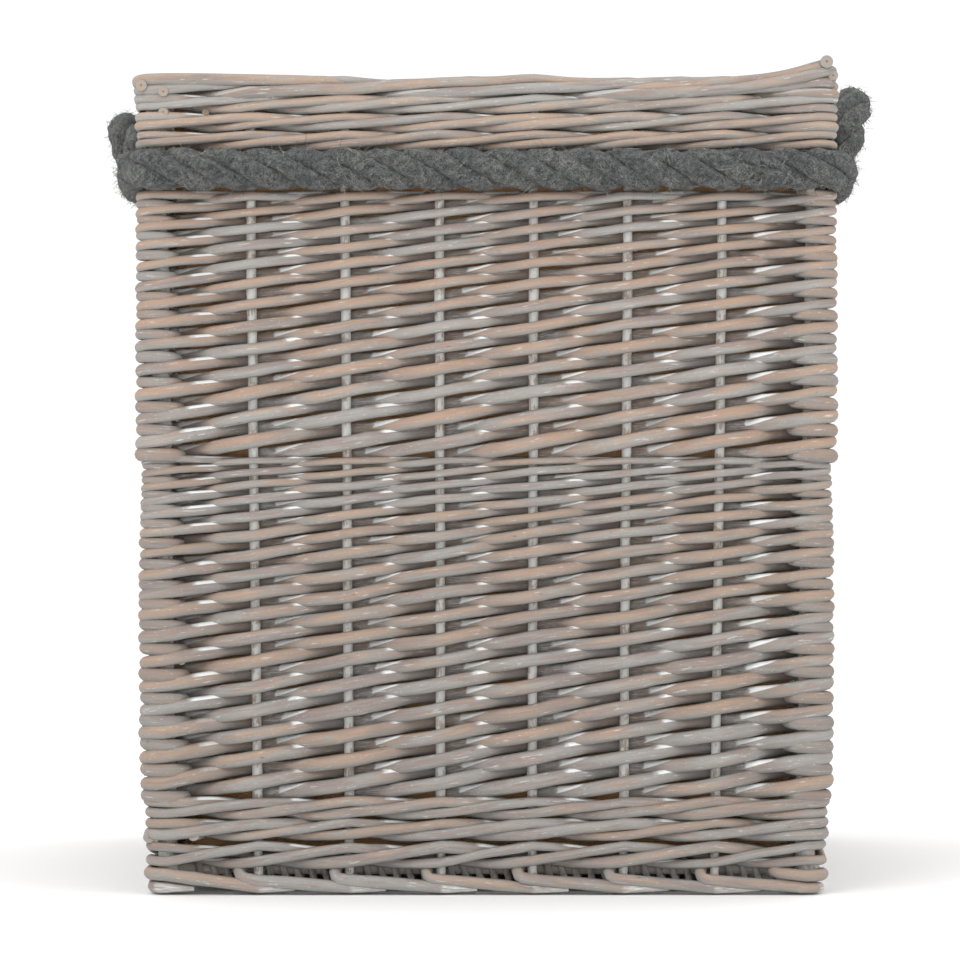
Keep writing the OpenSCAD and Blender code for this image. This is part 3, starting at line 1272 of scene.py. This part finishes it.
@dataclass
class CutEnds(WillowWork):
    """Short butts of rods that look out of the weave at the front."""

    seed: int = 59
    sides: int = 12
    at_right: int = 2  # the one place that is measured from the right post
    buried: float = 7.0  # how far behind its upright a butt ends, in mm
    places: tuple[tuple[float, float, float, float], ...] = (
        # beside the post, height, diameter, and how far before the post, all in mm
        (6.0, 508.5, 6.4, 13.0), (33.0, 509.0, 4.5, 6.0), (-5.0, 458.5, 5.6, 15.0),
        (18.0, 38.5, 7.6, 13.0), (-11.0, 37.0, 8.0, 9.0), (12.0, 152.0, 5.4, 11.0))

    def build(self) -> None:
        """Makes the butts and ties them to the frame."""
        rng = np.random.default_rng(self.seed)
        bundle = Bundle(self.sides)
        for number, (beside, z, d, reach) in enumerate(self.places):
            post = self.plan.upright(GAPS_PER_SIDE if number == self.at_right else 0)
            tip = post.at(z * MM) + np.array([beside * MM, -reach * MM, 0.0])
            tip[2] = z * MM
            sideways, tilt = rng.uniform(-2, 6), rng.uniform(-2, 2)
            back = tip + np.array([sideways, reach + self.buried, tilt]) * MM
            points = smooth_line(np.array([tip, (tip + back) / 2, back]), 3 * MM)
            radii = np.full(len(points), d / 2 * MM)
            bundle.add(Rod(points, radii, np.full(len(points), 0.9), rng.uniform(), 0.9))
        self.tie(bundle, "cut_ends", "wale_willow", [])


@dataclass
class Base(WillowWork):
    """The woven base: one long rod goes back and forth over and under the base sticks and
    turns round the two outer ones."""

    stick: Material
    rod_d: float = 4.4 * MM
    pitch: float = 4.55 * MM
    seed: int = 71
    sides: int = 8
    margin: float = 13 * MM  # from the base's edge to the outermost strokes
    lengths_used: int = 8  # rods that follow one another

    def build(self) -> None:
        """Makes the base and ties it to the frame."""
        rng = np.random.default_rng(self.seed)
        rails = []
        for place in ("front", *range(1, 6), "back"):
            name = f"base_stick_{place}"
            low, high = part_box(name)
            rails.append(((low.y + high.y) / 2, (high.z - low.z) / 2, (low.z + high.z) / 2))
            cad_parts[name].data.materials.clear()
            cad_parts[name].data.materials.append(self.stick)
            log.info("%s: CAD node with its finish", name)
        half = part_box("base_weave")[1].x - self.margin
        bundle = Bundle(self.sides)
        r = self.rod_d / 2
        count = int(2 * half / self.pitch)
        points: list[list[float]] = []
        for n in range(count):
            x = -half + n * self.pitch + rng.uniform(-0.35, 0.35) * MM
            order = list(enumerate(rails))
            if n % 2:
                order.reverse()
            for place, (m, (y, rail_r, z)) in enumerate(order):
                sign = 1.0 if (n + m) % 2 else -1.0
                reach = rail_r + r
                points.append([x, y, z + sign * reach])
                if place == len(order) - 1 and n < count - 1:
                    way = 1.0 if y > 0 else -1.0
                    for turn in (45, 90, 135):
                        a = math.radians(turn)
                        points.append([x + self.pitch * turn / 180,
                                       y + way * reach * math.sin(a),
                                       z + sign * reach * math.cos(a)])
        line = smooth_line(np.array(points), 8.5 * MM)
        breaks = np.linspace(0, len(line), self.lengths_used + 1).astype(int)
        for a, c in zip(breaks, breaks[1:]):
            part = line[a:min(c + 1, len(line))]
            frames = carried_frames(part, np.array([1.0, 0.05, 0.0]))
            far = lengths(part)
            bundle.add(Rod(part, np.full(len(part), r) * rng.uniform(0.94, 1.06), 0.9 + far * 9,
                           rng.uniform(), 1.0, frames))
        self.tie(bundle, "base_weavers", "base_willow", ["base_weave"])


@dataclass
class Uprights:
    """The stakes and posts: one stick modelled by hand, then copied to every place."""

    rings: int = 22
    sides: int = 14
    seed: int = 83

    def stick(self, rng: Rng) -> bpy.types.Object:
        """Models a stick of radius 1 mm and length 1 m, with knots and a slight wander.

        Args:
            rng: Random numbers.

        Returns:
            The stick, standing on the origin.
        """
        bpy.ops.object.select_all(action="DESELECT")
        bpy.ops.mesh.primitive_cylinder_add(vertices=self.sides, radius=1 * MM, depth=1.0,
                                            location=(0, 0, 0.5))
        made = bpy.context.object
        bpy.ops.object.transform_apply(location=True, rotation=False, scale=False)
        bpy.ops.object.mode_set(mode="EDIT")
        bpy.ops.mesh.select_all(action="DESELECT")
        bm = bmesh.from_edit_mesh(made.data)
        for edge in bm.edges:
            edge.select_set(abs(edge.verts[0].co.z - edge.verts[1].co.z) > 0.5)
        bmesh.update_edit_mesh(made.data)
        bpy.ops.mesh.subdivide(number_cuts=self.rings)
        for ring in range(1, self.rings + 1):
            z = ring / (self.rings + 1)
            bm = bmesh.from_edit_mesh(made.data)
            for vertex in bm.verts:
                vertex.select_set(abs(vertex.co.z - z) < 0.01)
            bm.select_flush_mode()
            bmesh.update_edit_mesh(made.data)
            swell = 1.12 if ring % 7 == 3 else rng.uniform(0.97, 1.03)
            bpy.ops.transform.resize(value=(swell, swell, 1))
            bpy.ops.transform.translate(value=(rng.uniform(-0.09, 0.09) * MM,
                                               rng.uniform(-0.09, 0.09) * MM, 0))
        bpy.ops.object.mode_set(mode="OBJECT")
        bpy.ops.object.shade_smooth_by_angle(angle=math.radians(45))
        return made

    def build(self, plan: Plan, stick: Material) -> None:
        """Stands the sticks in their places and ties them to the frame.

        Args:
            plan: The uprights.
            stick: Their finish.
        """
        rng = np.random.default_rng(self.seed)
        model = self.stick(rng)
        groups: dict[str, list[int]] = {"corner_posts": [i * GAPS_PER_SIDE for i in range(4)]}
        for s, side in enumerate(plan.SIDES):
            groups[f"stakes_{side}"] = [s * GAPS_PER_SIDE + k for k in range(1, GAPS_PER_SIDE)]
        for name, members in groups.items():
            copies = []
            for i in members:
                upright = plan.upright(i)
                copy = model.copy()
                copy.data = model.data.copy()
                bpy.context.scene.collection.objects.link(copy)
                axis = Vector((upright.head - upright.foot).tolist())
                lean = axis.to_track_quat("Z", "Y").to_matrix().to_4x4()
                turn = Matrix.Rotation(rng.uniform(0, math.tau), 4, "Z")
                radius = upright.radius / MM
                size = Matrix.Diagonal((radius, radius, axis.length, 1.0))
                copy.data.transform(Matrix.Translation(upright.foot.tolist()) @ lean @ turn @ size)
                copies.append(copy)
            bpy.ops.object.select_all(action="DESELECT")
            for copy in copies:
                copy.select_set(True)
            bpy.context.view_layer.objects.active = copies[0]
            bpy.ops.object.join()
            piece = bpy.context.object
            piece.name = piece.data.name = name
            piece.data.materials.append(stick)
            report(piece, "basket", [plan.upright(i).name for i in members])
        bpy.data.objects.remove(model)


# ---------------------------------------------------------------- lining


@dataclass
class Lining:
    """The hessian bag: four walls and a bottom, with a turned hem at the top."""

    node: str = "lining"
    thread: float = 0.7 * MM
    hem: float = 20 * MM
    corner_r: float = 12 * MM
    cuts: int = 15
    lift: float = 4.8 * MM  # how far its bottom is raised, to lie on the base's weavers
    skin: float = 0.9 * MM  # how far inside the CAD bag's outer face the cloth's middle is

    def build(self, cloth: Material) -> None:
        """Sews the bag and ties it to the frame.

        Args:
            cloth: The finish.
        """
        low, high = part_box(self.node)
        places = np.array([v.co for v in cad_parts[self.node].data.vertices])
        foot_half = places[places[:, 2] < low.z + 1 * MM][:, 0].max() - self.skin
        top_half = places[places[:, 2] > high.z - 1 * MM][:, 0].max() - self.skin
        bpy.ops.object.select_all(action="DESELECT")
        bpy.ops.mesh.primitive_cube_add(size=1, location=(0, 0, (low.z + high.z) / 2),
                                        scale=(2 * top_half, 2 * top_half, high.z - low.z))
        bag = bpy.context.object
        bag.name = bag.data.name = "lining_cloth"
        bpy.ops.object.transform_apply(location=True, rotation=False, scale=True)
        bpy.ops.object.mode_set(mode="EDIT")
        self.select(bag, lambda f: f.calc_center_median().z > high.z - 1 * MM, "FACE")
        bpy.ops.mesh.delete(type="ONLY_FACE")
        self.select(bag, lambda v: v.co.z < low.z + 1 * MM, "VERT")
        taper = foot_half / top_half
        bpy.ops.transform.resize(value=(taper, taper, 1))
        self.select(bag, lambda e: abs(e.verts[0].co.z - e.verts[1].co.z) > 0.2, "EDGE")
        bpy.ops.mesh.bevel(offset=self.corner_r, segments=4, affect="EDGES")
        bpy.ops.mesh.select_all(action="SELECT")
        bpy.ops.mesh.subdivide(number_cuts=self.cuts)
        self.select(bag, lambda e: e.is_boundary, "EDGE")
        bpy.ops.mesh.extrude_edges_move(TRANSFORM_OT_translate={"value": (0, 0, 1.2 * MM)})
        inward = 1 - 2.2 * MM / top_half
        bpy.ops.transform.resize(value=(inward, inward, 1))
        bpy.ops.mesh.extrude_edges_move(TRANSFORM_OT_translate={"value": (0, 0, -self.hem)})
        inward = 1 - 0.4 * MM / top_half
        bpy.ops.transform.resize(value=(inward, inward, 1))
        bpy.ops.object.mode_set(mode="OBJECT")
        self.sag(bag, low.z, high.z)
        self.unroll(bag)
        thicken = bag.modifiers.new("thread", "SOLIDIFY")
        thicken.thickness, thicken.offset = self.thread, 0.0
        bpy.context.view_layer.objects.active = bag
        bpy.ops.object.modifier_apply(modifier=thicken.name)
        bpy.ops.object.shade_smooth_by_angle(angle=math.radians(60))
        bag.data.materials.append(cloth)
        height, girth = high.z - low.z, 8 * top_half
        area = girth * (height + self.hem) * 0.985 + (2 * foot_half) ** 2
        report(bag, "basket", [self.node])
        width = 2 * top_half + 2 * (height + self.hem)
        log.info("lining cut from %.2f square metres", area)

    @staticmethod
    def select(bag: bpy.types.Object, chosen: Callable[[Any], bool], kind: str) -> None:
        """Selects what meets a test, in edit mode.

        Args:
            bag: The object.
            chosen: The test.
            kind: VERT, EDGE or FACE.
        """
        bpy.ops.mesh.select_all(action="DESELECT")
        bpy.ops.mesh.select_mode(type=kind)
        bm = bmesh.from_edit_mesh(bag.data)
        parts = {"VERT": bm.verts, "EDGE": bm.edges, "FACE": bm.faces}[kind]
        for part in parts:
            part.select_set(bool(chosen(part)))
        bm.select_flush_mode()
        bmesh.update_edit_mesh(bag.data)

    def sag(self, bag: bpy.types.Object, low: float, high: float) -> None:
        """Lets the walls hang in soft folds between the top and the base.

        Args:
            bag: The bag.
            low: Its lowest height.
            high: Its highest height.
        """
        for vertex in bag.data.vertices:
            x, y, z = vertex.co
            share = min(max((z - low) / (high - low), 0.0), 1.0)
            slack = math.sin(math.pi * share) ** 0.8 if share > 0 else 0.0
            around = math.atan2(y, x)
            fold = (math.sin(9 * around + 2.1 * share) * 0.5
                    + math.sin(17 * around - 3.0 * share) * 0.3
                    + math.sin(5 * share + 3 * around) * 0.2)
            pull = 1 - slack * (1.6 + 1.5 * fold) * MM / 0.2
            vertex.co = (x * pull, y * pull, max(z, low + self.lift))

    @staticmethod
    def unroll(bag: bpy.types.Object) -> None:
        """Gives the cloth a map in metres: round the walls and up them, or across the bottom."""
        mesh = bag.data
        layer = mesh.uv_layers.new(name="cloth")
        for face in mesh.polygons:
            normal = face.normal
            for corner in face.loop_indices:
                x, y, z = mesh.vertices[mesh.loops[corner].vertex_index].co
                if abs(normal.z) > 0.7:
                    layer.data[corner].uv = (x, y)
                elif abs(normal.x) > abs(normal.y):
                    layer.data[corner].uv = (y + 0.5, z)
                else:
                    layer.data[corner].uv = (x, z)
        for spare in [u for u in mesh.uv_layers if u.name != "cloth"]:
            mesh.uv_layers.remove(spare)


# ---------------------------------------------------------------- rope


@dataclass
class Rope:
    """Three strands laid right-handed round a line, with loose fibres."""

    diameter: float
    oval: tuple[float, float] = (0.24, 0.24)
    pitch: float = 78 * MM
    sides: int = 26
    fibres_per_metre: int = 7800
    seed: int = 97
    strand_share: float = 0.284  # a strand's radius, as a share of the rope's diameter
    roughness: float = 0.036  # how deep its tufts are, as a share of the radius
    tail_fibres: int = 420

    def strands(self, line: Array, phase: float, rng: Rng,
                first: Array) -> list[Rod]:
        """The three strands.

        Args:
            line: The rope's middle line, evenly spaced.
            phase: The first strand's angle at the line's start.
            rng: Random numbers.
            first: A direction across the line at its start.

        Returns:
            The strands.
        """
        out, rise = carried_frames(line, first)
        far = lengths(line)
        core_up, core_out = self.diameter * self.oval[0], self.diameter * self.oval[1]
        thick = self.diameter * self.strand_share
        rods = []
        for strand in range(3):
            angle = phase + strand * math.tau / 3 - math.tau * far / self.pitch
            swell = 1 + 0.05 * np.sin(far * 90 + strand * 2.0) + 0.03 * np.sin(far * 233 + strand)
            middle = line + (core_up * np.cos(angle)[:, None] * out
                             + core_out * np.sin(angle)[:, None] * rise)
            frames = carried_frames(middle, first)
            rods.append(Rod(middle, thick * swell, far / self.pitch, rng.uniform(), 1.0, frames,
                            self.lumps(len(line), rng)))
        return rods

    def lumps(self, rings: int, rng: Rng) -> Array:
        """An uneven, tufted surface.

        Args:
            rings: How many rings the strand has.
            rng: Random numbers.

        Returns:
            A factor on the radius for each ring and side.
        """
        rough = rng.standard_normal((rings, self.sides))
        rough = rough + np.roll(rough, 1, 0) + 0.7 * np.roll(rough, 1, 1)
        return 1 + self.roughness * np.clip(rough, -3.5, 3.5)

    def fibres(self, line: Array, strands: Sequence[Rod], count: int,
               rng: Rng) -> list[Rod]:
        """Loose curly fibres all over the strands.

        Args:
            line: The rope's middle line.
            strands: Its strands.
            count: How many fibres there are.
            rng: Random numbers.

        Returns:
            The fibres.
        """
        made = []
        for _ in range(count):
            strand = strands[int(rng.integers(len(strands)))]
            i = int(rng.integers(2, len(strand.points) - 2))
            a = rng.uniform(0, math.tau)
            out, rise = strand.frames[0][i], strand.frames[1][i]
            away = math.cos(a) * out + math.sin(a) * rise
            if away @ (strand.points[i] - line[i]) < 0:
                away = -away
            along = unit(strand.points[i + 1] - strand.points[i - 1])
            root = strand.points[i] + away * strand.radii[i] * 0.96
            heading = unit(along * rng.uniform(-1, 1) + away * rng.uniform(-0.05, 0.35)
                           + np.cross(along, away) * rng.uniform(-0.9, 0.9))
            length = rng.uniform(3, 10) * MM
            bend = unit(rng.normal(size=3))
            points = [root]
            for _ in range(4):
                heading = unit(heading + bend * rng.uniform(0.1, 0.8) - away * 0.22
                               + rng.normal(size=3) * 0.25)
                points.append(points[-1] + heading * length / 4)
            points = np.array(points)
            radii = np.full(len(points), rng.uniform(0.07, 0.16) * MM)
            radii[-1] *= 0.3
            made.append(Rod(points, radii, np.zeros(len(points)), rng.uniform(), 1.0,
                            carried_frames(points, bend)))
        return made

    def build(self, name: str, line: Array, phase: float, first: Array, body: str,
              nodes: Sequence[str], yarn: Material, fibre: Material,
              tail: Optional[Array] = None) -> None:
        """Makes one length of rope and ties it to the frame.

        Args:
            name: The piece's name.
            line: The rope's middle line.
            phase: The first strand's angle at the line's start.
            first: A direction across the line at its start.
            body: The body that it rides on.
            nodes: The CAD nodes that it stands for.
            yarn: The strands' finish.
            fibre: The loose fibres' finish.
            tail: The line of a strand's loose end, if it has one.
        """
        rng = np.random.default_rng(self.seed + sum(map(ord, name)))
        bundle, hair = Bundle(self.sides), Bundle(3)
        strands = self.strands(line, phase, rng, first)
        count = int(self.fibres_per_metre * lengths(line)[-1])
        loose = self.fibres(line, strands, count, rng)
        if tail is not None:
            radii = np.interp(np.linspace(0, 1, len(tail)), (0, 0.75, 1),
                              (6.0 * MM, 5.2 * MM, 2.4 * MM))
            end = Rod(tail, radii, lengths(tail) / self.pitch, rng.uniform(), 1.0,
                      carried_frames(tail, UP), self.lumps(len(tail), rng))
            strands.append(end)
            loose += self.fibres(tail - np.array([0, -4 * MM, 2 * MM]), [end],
                                 self.tail_fibres, rng)
        for rod in strands:
            bundle.add(rod, 0, 0)
        for rod in loose:
            hair.add(rod, 0, 0)
        report(bundle.build(f"{name}_strands", [yarn]), body, nodes)
        report(hair.build(f"{name}_fibres", [fibre]), body, nodes)


@dataclass
class RopeWork:
    """The rope round the basket and its two carrying loops."""

    corner_r: float = 18 * MM
    foot_r: float = 22 * MM
    foot_half: float = 91 * MM
    spacing: float = 1.7 * MM
    tuck: float = 7.0 * MM  # how much closer to the wall it lies at the posts
    left_reach: float = 0.68  # how far the left loop leans out, as a share of the CAD's
    start_angle: float = 0.4  # the first strand's angle where a length starts

    @staticmethod
    def arc(centre: Array, radius: float, start: float, end: float, u: Array,
            v: Array) -> list[Array]:
        """Points of an arc in the plane of two directions.

        Args:
            centre: Its centre.
            radius: Its radius.
            start: Its first angle in degrees, from u towards v.
            end: Its last angle.
            u: The first direction.
            v: The second direction.

        Returns:
            The points.
        """
        angles = np.radians(np.linspace(start, end, 9))
        return [centre + radius * (math.cos(a) * u + math.sin(a) * v) for a in angles]

    def even(self, points: Sequence[Array]) -> Array:
        """A line through points, evenly spaced and slightly rounded."""
        line = np.array(points)
        far = lengths(line)
        count = int(far[-1] / self.spacing)
        places = np.linspace(0, far[-1], count + 1)
        line = np.stack([np.interp(places, far, line[:, k]) for k in range(3)], -1)
        for _ in range(8):
            line[1:-1] = (line[:-2] + 2 * line[1:-1] + line[2:]) / 4
        return line

    def build(self, yarn: Material, fibre: Material) -> None:
        """Lays the rope and ties its pieces to the frame.

        Args:
            yarn: The strands' finish.
            fibre: The loose fibres' finish.
        """
        low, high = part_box("rope_front")
        d = high.z - low.z
        z = (high.z + low.z) / 2
        half_x = high.x - d / 2
        half_y = -low.y - d / 2
        end_y = -high.y
        round_rope, pressed_rope = Rope(d), Rope(d, oval=(0.31, 0.205))
        x, y = np.array([1.0, 0, 0]), np.array([0, 1.0, 0])
        for name, way in (("rope_front", -1.0), ("rope_back", 1.0)):
            turn = np.array([[-way, 0, 0], [0, -way, 0], [0, 0, 1]])  # half a turn for the back
            near = half_x - self.tuck
            start = np.array([-half_x, -end_y + 0.3 * MM, z])
            route = [start, np.array([-half_x, -end_y - 12 * MM, z]),
                     np.array([-half_x + 0.45 * self.tuck, -end_y - 45 * MM, z]),
                     np.array([-near, -end_y - 85 * MM, z]),
                     np.array([-near, -half_y + self.corner_r, z])]
            route += self.arc(np.array([-near + self.corner_r, -half_y + self.corner_r, z]),
                              self.corner_r, 180, 270, x, y)[1:]
            route += [p * np.array([-1, 1, 1]) for p in reversed(route)]
            line = self.even([turn @ p for p in route])
            tail = None
            if way < 0:
                tail = smooth_line(np.array([
                    [0.158, -half_y + 1 * MM, z + 1 * MM], [0.172, -half_y - 4 * MM, z - 1.5 * MM],
                    [0.187, -half_y - 8.5 * MM, z - 6 * MM],
                    [0.202, -half_y - 8 * MM, z - 10.5 * MM]]), self.spacing)
            pressed_rope.build(name, line, self.start_angle, UP, "basket", [name], yarn, fibre,
                               tail)
        for name, side, body in (("handle_left", -1.0, "left_handle"),
                                 ("handle_right", 1.0, "right_handle")):
            low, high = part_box(name)
            reach = (high.x - d / 2 - half_x) if side > 0 else (half_x + low.x + d / 2)
            reach = abs(reach) * (self.left_reach if side < 0 else 1.0)
            lift = high.z - d / 2 - z
            crown = math.hypot(reach, lift)
            away = (side * reach * x + lift * UP) / crown
            hinge = np.array([side * half_x, 0, z])
            crown_r = crown - self.foot_r
            shoulder = self.foot_half - self.foot_r - crown_r
            route = [hinge - y * high.y, hinge - y * self.foot_half]
            for along, radius, start, end, skipped in (
                    (-self.foot_half, self.foot_r, -90, 0, 1), (-shoulder, crown_r, 180, 90, 1),
                    (shoulder, crown_r, 90, 0, 0), (self.foot_half, self.foot_r, 180, 270, 1)):
                centre = hinge + y * along + away * self.foot_r
                route += self.arc(centre, radius, start, end, y, away)[skipped:]
            route += [hinge + y * high.y]
            line = self.even(route)
            across = np.cross(y, away)
            round_rope.build(name, line, self.start_angle, across, body, [name], yarn, fibre)


# ---------------------------------------------------------------- studio


@dataclass
class Studio:
    """Camera, floor and soft light."""

    distance: float = 2.6
    lens: float = 150.0
    aim: tuple[float, float] = (-0.0042, 0.2698)
    white: float = 1.06

    # name, place, size, power and target of each light
    LIGHTS = (("key", (-1.5, -2.7, 2.3), 1.6, 32.0, (0, 0, 0.28)),
              ("fill", (2.4, -2.0, 1.4), 2.0, 10.0, (0, 0, 0.28)),
              ("top", (0.2, 0.3, 3.0), 1.8, 14.0, (0, 0, 0.3)))

    def build(self) -> None:
        """Sets up the studio."""
        scene = bpy.context.scene
        scene.view_settings.view_transform = "Standard"
        camera = bpy.data.cameras.new("camera")
        camera.lens, camera.sensor_width = self.lens, 36.0
        camera.clip_start, camera.clip_end = 0.05, 100.0
        stand = bpy.data.objects.new("camera", camera)
        scene.collection.objects.link(stand)
        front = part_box("stake_front_1")[0].y
        stand.location = (self.aim[0], front - self.distance, self.aim[1])
        stand.rotation_euler = (math.pi / 2, 0, 0)
        scene.camera = stand

        world = bpy.data.worlds.new("studio")
        scene.world = world
        world.use_nodes = True
        sky = world.node_tree.nodes["Background"]
        sky.inputs["Color"].default_value = (1, 1, 1, 1)
        sky.inputs["Strength"].default_value = self.white

        for name, place, size, power, target in self.LIGHTS:
            light = bpy.data.lights.new(name, "AREA")
            light.shape, light.size, light.energy = "SQUARE", size, power
            lamp = bpy.data.objects.new(name, light)
            lamp.location = place
            way = Vector(target) - Vector(place)
            lamp.rotation_euler = way.to_track_quat("-Z", "Y").to_euler()
            scene.collection.objects.link(lamp)

        bpy.ops.object.select_all(action="DESELECT")
        bpy.ops.mesh.primitive_circle_add(vertices=64, radius=40.0, fill_type="NGON",
                                          location=(0, 0, -0.0005))
        floor = bpy.context.object
        floor.name = floor.data.name = "floor"
        bpy.ops.object.transform_apply(location=True)
        floor.data.materials.append(FloorFinish().make())


# ---------------------------------------------------------------- main


def main() -> None:
    """Builds the studio and every piece of the basket in order."""
    logging.basicConfig(level=logging.INFO, format="%(name)s: %(message)s")
    Studio().build()
    plan = Plan()
    pale, grey = (176, 153, 136), (172, 152, 137)
    rand = WillowFinish("rand_willow", cycle=2, bright=0.98).make()
    lower = WillowFinish("lower_willow", cycle=2, tan=(174, 151, 134), bright=0.92).make()
    wale = WillowFinish("wale_willow", cycle=3, tan=pale, slashes=0.9, bright=1.02).make()
    foot_wale = WillowFinish("foot_wale_willow", cycle=3, tan=grey, slashes=0.9,
                             bright=0.89).make()
    foot = WillowFinish("foot_willow", cycle=3, tan=grey, slashes=0.6, bright=0.94,
                        cut_from=1.98).make()
    border = WillowFinish("border_willow", cycle=3, tan=pale, slashes=0.3, bright=0.96).make()
    base = WillowFinish("base_willow", cycle=3, slashes=0.3, bright=0.9).make()
    cut = CutFinish().make()
    stick = StickFinish("stake_wood").make()
    stick_base = StickFinish("base_stick_wood", pale=(176, 172, 166)).make()
    yarn, fibre = RopeFinish().make(), FibreFinish().make()

    Uprights().build(plan, stick)
    Rand(plan, lower, cut, "lower_rand", levels=33, butt_d=9.7 * MM, tip_d=4.6 * MM,
         first_pitch=8.6, last_pitch=3.9, power=2.0, rise=0.5 * MM, drop=2.6 * MM,
         seed=11).build()
    Rand(plan, rand, cut, "upper_rand", levels=25, butt_d=9.2 * MM, tip_d=5.9 * MM,
         first_pitch=8.8, last_pitch=5.5, power=1.0, rise=1.2 * MM, drop=2.6 * MM,
         seed=12).build()
    Wale(plan, foot_wale, cut, [f"bottom_wale_{k}" for k in (1, 2, 3)], thick_d=8.5 * MM,
         thin_d=6.5 * MM, seed=21, sink=4.6 * MM).build()
    Wale(plan, wale, cut, [f"top_wale_{k}" for k in (1, 2, 3)], thick_d=7.0 * MM,
         thin_d=5.6 * MM, seed=22).build()
    FootBorder(plan, foot, cut).build()
    TopBorder(plan, border, cut).build()
    CutEnds(plan, wale, cut).build()
    Base(plan, base, cut, stick_base).build()
    Lining().build(HessianFinish().make())
    RopeWork().build(yarn, fibre)


if __name__ == "__main__":
    main()
